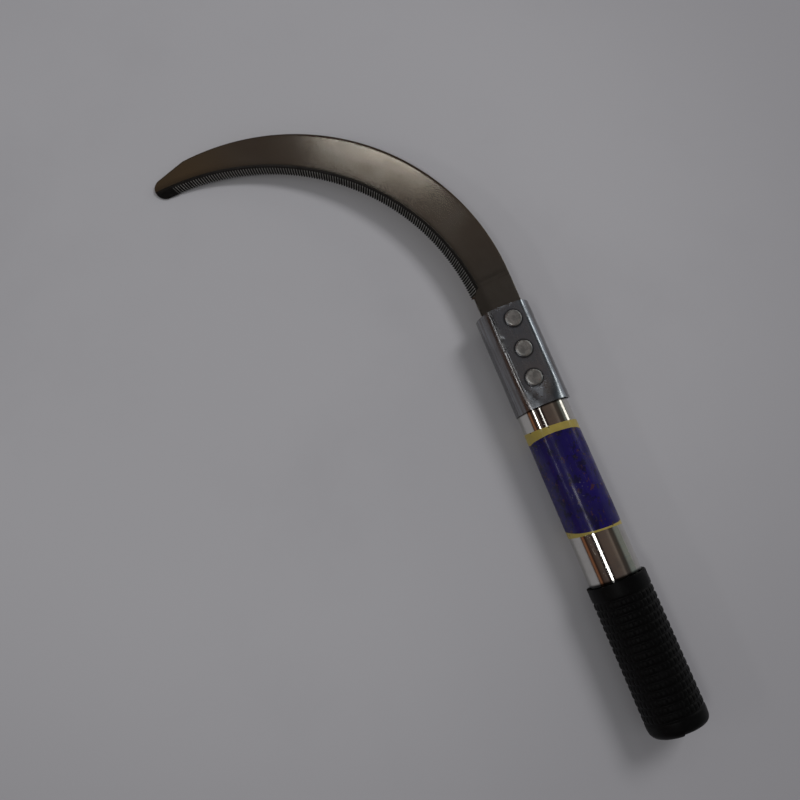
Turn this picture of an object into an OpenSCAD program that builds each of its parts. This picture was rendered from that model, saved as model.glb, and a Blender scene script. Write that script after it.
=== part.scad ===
// Hand sickle with a fixed, serrated crescent blade riveted into a steel tube
// handle with a rubber grip.
// +X runs along the handle from its butt to the blade, +Y is the side that the
// blade hooks towards and +Z is up. The origin is the centre of the butt's end
// face. The sickle is drawn as it lies on a table: rolled about the handle
// until the nose of the blade touches down.

/* [Pose] */
// Roll of the sickle about its handle, in degrees
roll = 5.65; // [0:0.05:12]

/* [Handle] */
// Outside diameter of the tube
tube_d = 25; // [24:0.5:25.5]
// Wall of the tube
tube_wall = 1; // [0.8:0.1:1.2]
// Distance from the butt to the front end of the ferrule
handle_len = 205; // [190:1:225]
// Length of the rubber grip
grip_len = 71; // [60:1:80]
// Outside diameter of the grip over its ribs
grip_d = 28.1; // [27.6:0.1:30]
// Thickness of rubber behind the end of the tube
grip_cap = 3; // [2:0.5:5]
// Number of ring grooves in the grip
groove_n = 17; // [8:1:18]

/* [Ferrule and rivets] */
// Length of the ferrule
ferrule_len = 51; // [46:1:60]
// Outside diameter of the ferrule
ferrule_d = 27; // [26.9:0.1:28]
// Height across the two pressed flats of the ferrule
ferrule_flat = 22.2; // [21:0.2:24]
// Length at the rear of the ferrule that is left round
ferrule_round = 4; // [3:0.5:8]
// Sideways offset of the ferrule and the pressed end of the tube
ferrule_side = -0.65; // [-0.7:0.05:0]
// Diameter of a rivet's head
rivet_head_d = 8; // [6.5:0.1:9]
// Height of a rivet's head
rivet_head_h = 1.4; // [1:0.1:1.8]

/* [Label] */
// Length of the wrap-around label
label_len = 52.2; // [30:0.1:60]
// Distance from the butt to the label
label_from = 92.4; // [85:0.1:95]

/* [Blade] */
// Thickness of the blade
blade_t = 1.5; // [1.2:0.1:2]
// Radius of the back of the blade near its root
back_root_r = 115.3; // [114:0.1:118]
// Radius of the back of the blade near its tip
back_tip_r = 112.5; // [111:0.1:113]
// Radius of the cutting edge
edge_r = 107.2; // [106.5:0.1:107.8]
// Radius of the rounded nose
nose_r = 5.3; // [4.5:0.1:5.6]
// Number of teeth
tooth_n = 134; // [60:1:150]
// Depth of the teeth
tooth_depth = 0.7; // [0.3:0.1:0.9]

/* [Hidden] */
$fn = 96;

// Handle stations along X
ferrule_from = handle_len - ferrule_len;
tube_to = handle_len - 0.5;
press_from = ferrule_from + ferrule_round;
web_from = press_from - 1.5;
core_from = press_from + 1;
core_to = handle_len - 1;

// Radii and half heights of the nested sleeves, outermost first
slip = 0.05;
tube_r = tube_d / 2;
bore_r = tube_r - tube_wall;
ferrule_r = ferrule_d / 2;
ferrule_bore_r = tube_r + slip;
ferrule_wall = ferrule_r - ferrule_bore_r;
ferrule_h = ferrule_flat / 2;
tube_h = ferrule_h - ferrule_wall - slip;
core_r = bore_r - slip;
core_h = tube_h - tube_wall - slip;

// Rivets: distance back from the ferrule's mouth and offset across the handle
rivet_back = [7.6, 22.8, 37.2];
rivet_side = [-2, -0.9, 0.2];
shank_r = 2.4;
hole_r = shank_r + slip;
head_round = 0.5;

// Grip profile
collar_len = 8.2;
band_len = 8.4;
groove_w = 1.3;
groove_depth = 0.6;
butt_round = 3;
mouth_round = 0.8;
grip_r = grip_d / 2;
groove_step = (grip_len - collar_len - band_len) / (groove_n - 1);

// Label
label_t = 0.12;
label_gap = 0.02;

// Blade: centres of its arcs and the angles where they start and stop
back_c = [handle_len + 17.6, 103.5];
back_turn = -60;
tip_c = back_c + (back_root_r - back_tip_r) * [cos(back_turn), sin(back_turn)];
edge_c = [handle_len + 8.1, 117.6];
shoulder_c = edge_c + [-1.6, 1.2];
shoulder_r = edge_r + 6.7;
teeth_from = -88.5;
teeth_to = 3.4;
nose_at = 6.3;
clip_at = 8.4;
step = (teeth_to - teeth_from) / tooth_n;
tooth_lag = 0.35;
land = 0.05;
nose_c = edge_c + (edge_r + nose_r) * [cos(nose_at), sin(nose_at)];
clip_p = tip_c + back_tip_r * [cos(clip_at), sin(clip_at)];
to_nose = nose_c - clip_p;
clip_dir = atan2(to_nose[1], to_nose[0]) - asin(nose_r / norm(to_nose));

// Blade root and tang
root_low = back_c[1] - back_root_r;
root_high = 9.1;
tang_low = -10.4;
tang_high = 7.8;
tang_from = core_from + 2;
reach = 300;

// Bevel along the cutting edge, as seen across it
hollow_w = 1.3;
hollow_drop = 0.5;
edge_thick = 0.3;
bevel_w = 8;

function polar(centre, radius, angle) = centre + radius * [cos(angle), sin(angle)];

// Turns a shape from its drawing position to the way the sickle lies
module laid() rotate([-roll, 0, 0]) children();

// Shape drawn across the handle, extruded along it from one station to another
module along(from, to) {
    translate([from, 0, 0]) rotate([90, 0, 90]) linear_extrude(to - from) children();
}

// Round section with two pressed flats, offset like the ferrule
module pressed(radius, half) {
    translate([ferrule_side, 0])
        intersection() {
            circle(radius);
            square([3 * radius, 2 * half], center = true);
        }
}

module rivet_holes() {
    for (i = [0 : 2])
        translate([handle_len - rivet_back[i], rivet_side[i], -ferrule_r])
            cylinder(r = hole_r, h = 2 * ferrule_r);
}

module back_outline() {
    translate(tip_c) circle(back_tip_r, $fn = 256);
    intersection() {
        translate(back_c) circle(back_root_r, $fn = 256);
        polygon([back_c, [back_c[0], -reach], polar(back_c, reach, back_turn)]);
    }
    translate([handle_len + 0.3, root_low])
        square([back_c[0] - handle_len - 0.3, root_high - root_low]);
}

// Saw-toothed ring that cuts the gullets
module gullets() {
    outer = [for (i = [0 : tooth_n]) each [
        polar(edge_c, edge_r - land, teeth_from + i * step),
        polar(edge_c, edge_r + tooth_depth, teeth_from + (i + tooth_lag) * step)]];
    inner = [for (i = [tooth_n : -1 : 0]) polar(edge_c, edge_r - 2, teeth_from + i * step)];
    polygon(concat(outer, inner));
}

// Everything left of the handle's mouth and inside the curve of the edge
module inside_of_edge() {
    difference() {
        translate(edge_c) circle(edge_r, $fn = 256);
        translate([-reach, -reach]) square([reach + back_c[0] - 10, reach + root_high]);
    }
    translate([-reach, root_high]) square([reach + back_c[0] - 5, reach]);
}

// Everything beyond the nose
module past_nose() {
    polygon([nose_c, polar(nose_c, reach, clip_dir - 90), [nose_c[0] + reach, reach * 2],
             [nose_c[0] - reach, reach * 2], nose_c - reach * [cos(nose_at), sin(nose_at)]]);
}

module blade_outline() {
    difference() {
        union() {
            difference() {
                back_outline();
                inside_of_edge();
                translate([-reach, -reach]) square([reach + handle_len + 0.3, 2 * reach]);
                past_nose();
            }
            translate(nose_c) circle(nose_r);
        }
        gullets();
        polygon([clip_p, polar(clip_p, reach, clip_dir), polar(clip_p, reach, clip_dir - 60)]);
    }
    translate([tang_from, tang_low])
        square([handle_len + 0.5 - tang_from, tang_high - tang_low]);
}

// Ring that grinds the bevel: a narrow hollow below the shoulder, then a slope
// down to the cutting edge
module bevel() {
    top = blade_t / 2;
    translate([shoulder_c[0], shoulder_c[1], 0])
        rotate([0, 0, teeth_from])
            rotate_extrude(angle = 120, $fn = 256)
                polygon([[shoulder_r, top + 1], [shoulder_r, top],
                         [shoulder_r - hollow_w, top - hollow_drop],
                         [shoulder_r - 6, edge_thick - top],
                         [shoulder_r - bevel_w, edge_thick - top],
                         [shoulder_r - bevel_w, top + 1]]);
}

module blade() {
    color([0.2, 0.18, 0.16])
        laid()
            difference() {
                translate([0, 0, -blade_t / 2]) linear_extrude(blade_t) blade_outline();
                bevel();
                rivet_holes();
            }
}

module tube() {
    color([0.72, 0.71, 0.69])
        laid()
            difference() {
                union() {
                    along(grip_cap, web_from)
                        difference() {
                            circle(tube_r);
                            circle(bore_r);
                        }
                    along(web_from, press_from - slip)
                        difference() {
                            circle(tube_r);
                            pressed(bore_r, tube_h - tube_wall);
                        }
                    along(press_from - slip, tube_to)
                        difference() {
                            pressed(tube_r, tube_h);
                            pressed(bore_r, tube_h - tube_wall);
                        }
                }
                rivet_holes();
            }
}

module ferrule() {
    color([0.55, 0.56, 0.57])
        laid()
            difference() {
                union() {
                    along(ferrule_from, press_from)
                        difference() {
                            translate([ferrule_side, 0]) circle(ferrule_r);
                            circle(ferrule_bore_r);
                        }
                    along(press_from, press_from + ferrule_wall)
                        difference() {
                            translate([ferrule_side, 0]) circle(ferrule_r);
                            pressed(ferrule_bore_r, tube_h + slip);
                        }
                    along(press_from + ferrule_wall, handle_len)
                        difference() {
                            pressed(ferrule_r, ferrule_h);
                            pressed(ferrule_bore_r, tube_h + slip);
                        }
                }
                rivet_holes();
            }
}

// Packing piece between the tang and one side of the tube
module core_half(side) {
    color([0.62, 0.48, 0.32])
        laid()
            difference() {
                along(core_from, core_to)
                    intersection() {
                        pressed(core_r, core_h);
                        translate([0, side * (core_h + blade_t / 2 + slip)])
                            square([2 * tube_r, 2 * core_h], center = true);
                    }
                rivet_holes();
            }
}

module core_upper() {
    core_half(1);
}

module core_lower() {
    core_half(-1);
}

// Low pan head with a rounded rim, seated on z = 0
module rivet_head() {
    r = rivet_head_d / 2;
    rotate_extrude()
        union() {
            square([r - head_round, rivet_head_h]);
            square([r, rivet_head_h - head_round]);
            translate([r - head_round, rivet_head_h - head_round]) circle(head_round, $fn = 32);
        }
}

module rivet(i) {
    color([0.68, 0.67, 0.65])
        laid()
            translate([handle_len - rivet_back[i], rivet_side[i], 0]) {
                translate([0, 0, -ferrule_h]) cylinder(r = shank_r, h = 2 * ferrule_h);
                for (flip = [0, 180])
                    rotate([flip, 0, 0]) translate([0, 0, ferrule_h]) rivet_head();
            }
}

module rivet_front() {
    rivet(0);
}

module rivet_middle() {
    rivet(1);
}

module rivet_rear() {
    rivet(2);
}

// Half section of the grip, with its axis upright and the butt at the bottom
module grip_section() {
    difference() {
        union() {
            translate([0, butt_round]) square([grip_r, grip_len - butt_round - mouth_round]);
            square([grip_r - butt_round, grip_len]);
            translate([grip_r - butt_round, butt_round]) circle(butt_round);
            square([grip_r - mouth_round, grip_len]);
            translate([grip_r - mouth_round, grip_len - mouth_round]) circle(mouth_round, $fn = 32);
        }
        translate([-1, -1]) square([grip_r + 2, 1]);
        translate([0, grip_cap - slip]) square([tube_r + slip / 2, grip_len]);
        for (i = [0 : groove_n - 1])
            translate([grip_r, band_len + i * groove_step])
                polygon([[0.1, -groove_w / 2], [0.1, groove_w / 2],
                         [-groove_depth, groove_w / 4], [-groove_depth, -groove_w / 4]]);
    }
}

module grip() {
    color([0.06, 0.06, 0.07]) rotate([0, 90, 0]) rotate_extrude() grip_section();
}

module label() {
    color([0.17, 0.12, 0.4])
        along(label_from, label_from + label_len)
            difference() {
                circle(tube_r + label_gap + label_t);
                circle(tube_r + label_gap);
            }
}

blade();
tube();
ferrule();
core_upper();
core_lower();
rivet_front();
rivet_middle();
rivet_rear();
grip();
label();
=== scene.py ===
# Hand sickle: a serrated crescent blade riveted into a steel tube handle with a
# rubber grip. It lies rolled about its handle until the nose touches the table.
import math

import bpy
import numpy as np
from mathutils import Matrix, Vector, noise


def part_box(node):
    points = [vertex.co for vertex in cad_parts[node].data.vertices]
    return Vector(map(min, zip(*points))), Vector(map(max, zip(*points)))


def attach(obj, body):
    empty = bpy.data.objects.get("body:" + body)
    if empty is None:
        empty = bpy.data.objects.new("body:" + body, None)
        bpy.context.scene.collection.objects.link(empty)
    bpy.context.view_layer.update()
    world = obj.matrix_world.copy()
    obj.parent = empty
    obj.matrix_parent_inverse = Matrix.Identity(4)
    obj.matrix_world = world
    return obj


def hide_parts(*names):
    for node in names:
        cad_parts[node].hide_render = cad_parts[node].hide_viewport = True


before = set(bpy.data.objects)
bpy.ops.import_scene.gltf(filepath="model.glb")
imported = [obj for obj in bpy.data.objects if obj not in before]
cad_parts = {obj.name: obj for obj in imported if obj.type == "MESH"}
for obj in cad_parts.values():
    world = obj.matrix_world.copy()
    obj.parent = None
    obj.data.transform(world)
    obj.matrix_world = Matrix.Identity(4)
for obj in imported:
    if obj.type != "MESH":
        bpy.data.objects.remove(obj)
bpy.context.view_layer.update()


# ----------------------------------------
# Blade: a stamped crescent of carbon steel, browned by its hardening and flat below.
# Its inner edge is hollow ground from above and cut with slanted grooves into fine
# teeth. Its straight tang goes down the handle between the two packing pieces.
MM = 0.001
ROLL = math.radians(5.65)
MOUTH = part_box("ferrule")[1].x / MM

blade_top = 0.75
back_centre = np.array([MOUTH + 17.6, 103.5])
back_radius = 115.28
back_turn = -60.0
tip_radius = 112.48
edge_centre = np.array([MOUTH + 8.1, 117.6])
edge_radius = 107.2
shoulder_centre = edge_centre + [-1.6, 1.2]
shoulder_radius = 113.9
nose_at = 6.3
nose_radius = 5.28
clip_at = 8.4
root_low = -11.8
root_high = 9.1
tang_from = MOUTH - 44.0
tang_low = -10.4
tang_high = 7.8

teeth_from = -88.5
teeth_to = 3.4
tooth_count = 134
tooth_depth = 0.85
tooth_lag = 0.35
tooth_phases = (0.0, 0.08, 0.22, 0.35, 0.5, 0.68, 0.85)
groove_depth = 0.34
groove_slant = 24.0
first_groove_slant = 38.0
hollow_width = 1.3
hollow_drop = 0.5
hollow_power = 2.2
slope_fall = 0.149
edge_left = 0.06
curve_scale = 0.11
ground_slot = 1


def polar(centre, radius, degrees):
    """Point at a radius and an angle about a centre."""
    a = math.radians(degrees)
    return np.asarray(centre) + radius * np.array([math.cos(a), math.sin(a)])


def smooth(low, high, x):
    """0 below low, 1 above high and a smooth rise between them."""
    t = np.clip((x - low) / (high - low), 0.0, 1.0)
    return t * t * (3.0 - 2.0 * t)


def ray_to_circle(start, direction, centre, radius):
    """Distance along a ray to where it leaves a circle."""
    d = np.asarray(centre) - start
    b = d @ direction
    return b + math.sqrt(max(b * b - d @ d + radius * radius, 0.0))


def bumps(x, y, z, size):
    """Smooth random height from -1 to 1 whose lumps are about size across."""
    return noise.noise(Vector((x / size, y / size, z / size)))


tip_centre = polar(back_centre, back_radius - tip_radius, back_turn)
nose_centre = polar(edge_centre, edge_radius + nose_radius, nose_at)
clip_point = polar(tip_centre, tip_radius, clip_at)
to_nose = nose_centre - clip_point
clip_direction = math.degrees(
    math.atan2(to_nose[1], to_nose[0]) - math.asin(nose_radius / np.linalg.norm(to_nose))
)
clip_normal = polar((0, 0), 1.0, clip_direction - 90.0)


def to_back(start, direction):
    """Distance along a ray to the back of the blade."""
    far = ray_to_circle(start, direction, tip_centre, tip_radius)
    spot = start + far * direction - back_centre
    if math.degrees(math.atan2(spot[1], spot[0])) < back_turn:
        far = ray_to_circle(start, direction, back_centre, back_radius)
        if (start + far * direction)[0] < back_centre[0]:
            far = (root_low - start[1]) / direction[1]
    across = direction @ clip_normal
    if across > 1e-6:
        far = min(far, ((nose_centre - start) @ clip_normal + nose_radius) / across)
    return far


def bevel_height(spot, groove):
    """Height of the upper face at a spot inside the shoulder line."""
    t = shoulder_radius - np.linalg.norm(spot - shoulder_centre)
    if t <= 0.0:
        return blade_top
    if t < hollow_width:
        return blade_top - hollow_drop * (1.0 - (1.0 - t / hollow_width) ** hollow_power)
    fade = smooth(0.0, 0.9, t - hollow_width)
    height = blade_top - hollow_drop - slope_fall * (t - hollow_width)
    return max(height - groove * groove_depth * fade, edge_left - blade_top)


# Shares of the way from the cutting edge to the foot of the hollow, from there to
# the shoulder, and from the shoulder to the back
land_steps = (0.0, 0.1, 0.22, 0.36, 0.5, 0.64, 0.78, 0.9)
hollow_steps = (0.0, 0.2, 0.45, 0.7, 0.88)
face_steps = (0.0, 0.03, 0.12, 0.24, 0.36, 0.48, 0.6, 0.72, 0.84, 0.93)
back_round = ((0.30, 0.0), (0.12, 0.06), (0.03, 0.16), (0.0, 0.32))


def blade_column(edge, foot, shoulder, back, groove, ground):
    """Points once round the blade's section, from the edge over the face and back."""
    flat = [edge + f * (foot - edge) for f in land_steps]
    flat += [foot + f * (shoulder - foot) for f in hollow_steps]
    top = []
    for k, spot in enumerate(flat):
        z = bevel_height(spot, groove) if ground else blade_top
        if not ground and k == 0:
            z = blade_top - 0.25
        top.append((*spot, z))
    width = max(np.linalg.norm(back - shoulder), 1e-6)
    outward = (back - shoulder) / width
    inset = min(0.30, 0.3 * width)
    for f in face_steps:
        top.append((*(shoulder + outward * f * (width - inset)), blade_top))
    for step, drop in back_round:
        top.append((*(back - outward * step * inset / 0.30), blade_top - drop))
    low = []
    for step, drop in back_round[::-1]:
        low.append((*(back - outward * step * inset / 0.30), drop - blade_top))
    for f in (0.84, 0.6, 0.36, 0.12, 0.0):
        low.append((*(shoulder + outward * f * (width - inset)), -blade_top))
    for f in (0.6, 0.2, 0.0):
        low.append((*(edge + f * (shoulder - edge)), -blade_top))
    return top + low


def toothed_column(at, radius, slant, groove):
    """Column across the ground part of the blade, leaning towards the tip."""
    lean = slant * (1.0 - smooth(teeth_to, nose_at, at))
    edge = polar(edge_centre, radius, at)

    def leaning(r):
        turn = math.degrees(math.tan(math.radians(lean)) * (r - radius) / r)
        return polar(edge_centre, r, at + turn)

    band = ray_to_circle(edge_centre, polar((0, 0), 1.0, at), shoulder_centre, shoulder_radius)
    shoulder = leaning(band)
    outward = shoulder - shoulder_centre
    shoulder = shoulder_centre + outward * shoulder_radius / np.linalg.norm(outward)
    if at >= nose_at - 1e-6:
        shoulder = nose_centre
    foot = edge + (shoulder - edge) * (1.0 - hollow_width / (band - radius))
    direction = (shoulder - edge_centre) / np.linalg.norm(shoulder - edge_centre)
    back = shoulder + direction * to_back(shoulder, direction)
    return blade_column(edge, foot, shoulder, back, groove, True)


columns = []
for x in np.linspace(tang_from, MOUTH + 0.4, 12):
    edge, back = np.array([x, tang_high]), np.array([x, tang_low])
    shoulder = edge + 0.25 * (back - edge)
    foot = edge + 0.8 * (shoulder - edge)
    columns.append(blade_column(edge, foot, shoulder, back, 0.0, False))

first_tooth = toothed_column(teeth_from, edge_radius, first_groove_slant, 0.0)
key_rows = (0, len(land_steps), len(land_steps) + len(hollow_steps))
ground_edge, ground_foot, ground_shoulder = (np.array(first_tooth[k][:2]) for k in key_rows)
back_row = key_rows[2] + len(face_steps) + len(back_round) - 1
ground_back = np.array(first_tooth[back_row][:2])
for share in np.linspace(0.0, 0.985, 16):
    x = MOUTH + 0.45 + share * (ground_edge[0] - MOUTH - 0.45)
    edge = np.array([x, root_high + 0.12 * bumps(x, 0, 0, 2.5)])
    foot = np.array([x, root_high - 3.9]) * (1 - share) + share * ground_foot
    shoulder = np.array([x, root_high - 5.2]) * (1 - share) + share * ground_shoulder
    back = np.array([MOUTH + 0.45, root_low]) * (1 - share) + share * ground_back
    columns.append(blade_column(edge, foot, shoulder, back, 0.0, False))
ground_from = len(columns)

tooth_step = (teeth_to - teeth_from) / tooth_count
for tooth in range(tooth_count):
    ground_slant = groove_slant + (first_groove_slant - groove_slant) * (
        1.0 - smooth(0.0, 5.0, tooth)
    )
    vary = bumps(tooth * 1.7, 3.1, 0.0, 1.0)
    for phase in tooth_phases:
        cut = phase / tooth_lag if phase < tooth_lag else (1.0 - phase) / (1.0 - tooth_lag)
        radius = edge_radius + tooth_depth * (0.95 + 0.25 * vary) * cut
        columns.append(
            toothed_column(
                teeth_from + (tooth + phase) * tooth_step, radius, ground_slant, cut
            )
        )
for at in np.linspace(teeth_to, nose_at, 13):
    columns.append(toothed_column(at, edge_radius, groove_slant, 0.0))

# The nose is sliced by chords square to the shoulder line, out to its last sliver
nose_out = polar((0, 0), 1.0, nose_at + 90.0)
nose_back = polar((0, 0), 1.0, nose_at)
for turn in np.linspace(3.0, 87.0, 29):
    reach = nose_radius * math.sin(math.radians(turn))
    half = nose_radius * math.cos(math.radians(turn))
    middle = nose_centre + reach * nose_out
    edge = middle - half * nose_back
    foot = middle - min(hollow_width, 0.5 * half) * nose_back
    if nose_at + turn < clip_direction - 90.0:
        half = (nose_radius - reach * (nose_out @ clip_normal)) / (nose_back @ clip_normal)
    columns.append(blade_column(edge, foot, middle, middle + half * nose_back, 0.0, True))
ring_size = len(columns[0])


def grid(rows, ring, closed=True, first=0):
    """Quads between rows of points, each row a closed ring or an open line."""
    faces = []
    for r in range(rows - 1):
        for c in range(ring if closed else ring - 1):
            a, b = first + r * ring + c, first + r * ring + (c + 1) % ring
            faces.append((a, b, b + ring, a + ring))
    return faces


def capped(faces, ring, total):
    """Closes the first and the last ring of a grid."""
    return faces + [tuple(range(ring))[::-1], tuple(range(total - ring, total))]


def laid(points):
    """Points drawn square to the handle, rolled to the way the sickle lies."""
    p = np.asarray(points, float)
    c, s = math.cos(ROLL), math.sin(ROLL)
    return np.stack([p[:, 0], c * p[:, 1] + s * p[:, 2], c * p[:, 2] - s * p[:, 1]], 1)


def make_piece(name, points, faces, materials, nodes, crease=35.0):
    """Mesh in millimetres made into a piece that stands for CAD nodes."""
    mesh = bpy.data.meshes.new(name)
    mesh.from_pydata((np.asarray(points) * MM).tolist(), [], faces)
    for material in materials:
        mesh.materials.append(material)
    piece = bpy.data.objects.new(name, mesh)
    bpy.context.scene.collection.objects.link(piece)
    mesh.shade_smooth()
    mesh.set_sharp_from_angle(angle=math.radians(crease))
    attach(piece, "root")
    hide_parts(*nodes)
    return piece


blade_points = [p for column in columns for p in column]
blade_faces = capped(grid(len(columns), ring_size), ring_size, len(blade_points))


def place(tree, kind, inputs=(), **settings):
    """One node in a node tree; inputs are values or other nodes' outputs, by socket."""
    made = tree.nodes.new("ShaderNode" + kind)
    for key, value in settings.items():
        setattr(made, key, value)
    for socket, value in dict(inputs).items():
        if isinstance(value, bpy.types.Node):
            value = value.outputs[0]
        if isinstance(value, bpy.types.NodeSocket):
            tree.links.new(value, made.inputs[socket])
        else:
            made.inputs[socket].default_value = value
    return made


def add(material, kind, inputs=(), **settings):
    """One node in a material."""
    return place(material.node_tree, kind, inputs, **settings)


def reckon(tree, operation, a, b):
    """Maths node in a node tree."""
    return place(tree, "Math", {0: a, 1: b}, operation=operation)


def texture(material, vector, **numbers):
    """Value of a noise texture, such as its Scale and Detail say."""
    return add(material, "TexNoise", {"Vector": vector, **numbers}).outputs[0]


def apart(material, spot, point):
    """Distance of a spot from a fixed point."""
    made = add(material, "VectorMath", {0: spot, 1: tuple(point)}, operation="DISTANCE")
    return made.outputs["Value"]


def new_material(name, finish):
    """Material with one Principled BSDF whose plain values are in finish."""
    material = bpy.data.materials.new(name)
    material.use_nodes = True
    shader = material.node_tree.nodes["Principled BSDF"]
    for socket, value in finish.items():
        shader.inputs[socket].default_value = value
    return material, shader


def join(material, source, shader, socket):
    """Link a node's output to a socket of the shader."""
    if isinstance(source, bpy.types.Node):
        source = source.outputs[0]
    material.node_tree.links.new(source, shader.inputs[socket])


def tint(material, mask, below, above, share=1.0):
    """Colour that goes from below to above with a mask, as far as its share."""
    if share != 1.0:
        mask = calc(material, "MULTIPLY", mask, share)
    made = add(material, "Mix", {0: mask}, data_type="RGBA")
    for index, colour in ((6, below), (7, above)):
        if isinstance(colour, bpy.types.NodeSocket):
            material.node_tree.links.new(colour, made.inputs[index])
        else:
            made.inputs[index].default_value = (*colour, 1.0)
    return made.outputs[2]


def between(material, value, low, high, bottom=0.0, top=1.0):
    """Value mapped so that low gives bottom and high gives top, and held outside."""
    return add(
        material,
        "MapRange",
        {0: value, 1: low, 2: high, 3: bottom, 4: top},
        interpolation_type="SMOOTHSTEP",
    ).outputs[0]


def calc(material, operation, a, b=0.0):
    """Value of a maths node in a material."""
    return reckon(material.node_tree, operation, a, b).outputs[0]


def new_group(name, numbers, outputs):
    """Empty shader node group with a Vector input, number inputs and outputs."""
    group = bpy.data.node_groups.new(name, "ShaderNodeTree")
    face = group.interface
    face.new_socket("Vector", in_out="INPUT", socket_type="NodeSocketVector")
    for socket, value in numbers.items():
        made = face.new_socket(socket, in_out="INPUT", socket_type="NodeSocketFloat")
        made.default_value = value
    for socket in outputs:
        face.new_socket(socket, in_out="OUTPUT", socket_type="NodeSocketFloat")
    entry = group.nodes.new("NodeGroupInput")
    leave = group.nodes.new("NodeGroupOutput")
    return group, entry, leave


# Fine scratches: noise drawn out into hairlines, broken up so that they come and go
scratches, entry, leave = new_group(
    "Hairline scratches", {"Length": 0.02, "Width": 0.0002, "Amount": 0.5}, ["Mask"]
)
split = place(scratches, "SeparateXYZ", {0: entry.outputs["Vector"]})
along = reckon(scratches, "DIVIDE", split.outputs[0], entry.outputs["Length"])
across = reckon(scratches, "DIVIDE", split.outputs[1], entry.outputs["Width"])
third = reckon(scratches, "DIVIDE", split.outputs[2], entry.outputs["Width"])
drawn = place(scratches, "CombineXYZ", {0: along, 1: across, 2: third})
lines = place(scratches, "TexNoise", {"Vector": drawn, "Scale": 1.0, "Detail": 3.0})
edge_of_lines = reckon(scratches, "SUBTRACT", 0.74, entry.outputs["Amount"])
upper_edge = reckon(scratches, "ADD", edge_of_lines, 0.06)
hairs = place(
    scratches, "MapRange", {0: lines, 1: edge_of_lines, 2: upper_edge, 3: 0.0, 4: 1.0}
)
scratches.links.new(hairs.outputs[0], leave.inputs["Mask"])

# Smudges: soft cloudy patches of handling and dust, with finer breaks inside them
smudges, entry, leave = new_group("Smudges", {"Size": 0.02, "Cover": 0.5}, ["Mask"])
spread = reckon(smudges, "DIVIDE", 1.0, entry.outputs["Size"])
clouds = place(
    smudges,
    "TexNoise",
    {"Vector": entry.outputs["Vector"], "Scale": spread, "Detail": 5.0, "Roughness": 0.62},
)
start = reckon(smudges, "SUBTRACT", 0.75, entry.outputs["Cover"])
stop = reckon(smudges, "ADD", start, 0.3)
patches = place(
    smudges,
    "MapRange",
    {0: clouds, 1: start, 2: stop, 3: 0.0, 4: 1.0},
    interpolation_type="SMOOTHSTEP",
)
smudges.links.new(patches.outputs[0], leave.inputs["Mask"])

# Edge mask, used for wear and for painted edge highlights and shade: bright where
# the shape is convex, eaten into by noise
edge_wear_and_light, entry, leave = new_group("Edge wear and painted light", {"Sharpness": 0.06, "Grain": 0.001}, ["Mask"])
shape = edge_wear_and_light.nodes.new("ShaderNodeNewGeometry")
top = reckon(edge_wear_and_light, "ADD", 0.52, entry.outputs["Sharpness"])
ridge = place(edge_wear_and_light, "MapRange", {0: shape.outputs["Pointiness"], 1: 0.51, 2: top})
size = reckon(edge_wear_and_light, "DIVIDE", 1.0, entry.outputs["Grain"])
speckle = place(
    edge_wear_and_light, "TexNoise", {"Vector": entry.outputs["Vector"], "Scale": size, "Detail": 3.0}
)
eaten = place(edge_wear_and_light, "MapRange", {0: speckle, 1: 0.35, 2: 0.6, 3: 0.2, 4: 1.0})
result = reckon(edge_wear_and_light, "MULTIPLY", ridge, eaten)
edge_wear_and_light.links.new(result.outputs[0], leave.inputs["Mask"])


def effect(material, group, vector, **numbers):
    """Places a shared effect in a material and returns its mask."""
    made = material.node_tree.nodes.new("ShaderNodeGroup")
    made.node_tree = group
    material.node_tree.links.new(vector, made.inputs["Vector"])
    for socket, value in numbers.items():
        made.inputs[socket].default_value = value
    return made.outputs["Mask"]


def object_place(material):
    return add(material, "TexCoord").outputs["Object"]


def bump(material, height, distance, strength=1.0, under=None):
    """Normal from a height, laid over another bump if there is one."""
    made = add(
        material, "Bump", {"Height": height, "Distance": distance, "Strength": strength}
    )
    if under is not None:
        material.node_tree.links.new(under, made.inputs["Normal"])
    return made.outputs[0]


def polar_place(material, centre):
    """Coordinates on the blade: along its curve and across it."""
    spot = object_place(material)
    moved = add(
        material,
        "VectorMath",
        {0: spot, 1: (centre[0] * MM, centre[1] * MM, 0.0)},
        operation="SUBTRACT",
    )
    parts = add(material, "SeparateXYZ", {0: moved})
    x, y = parts.outputs[0], parts.outputs[1]
    angle = calc(material, "ARCTAN2", y, x)
    flat = add(material, "CombineXYZ", {0: x, 1: y})
    radius = add(material, "VectorMath", {0: flat}, operation="LENGTH").outputs["Value"]
    along = calc(material, "MULTIPLY", angle, curve_scale)
    return add(material, "CombineXYZ", {0: along, 1: radius}).outputs[0]


def across_curve(material, centre):
    """Distance from a centre of the blade's curves."""
    return add(material, "SeparateXYZ", {0: polar_place(material, centre)}).outputs[1]


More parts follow.
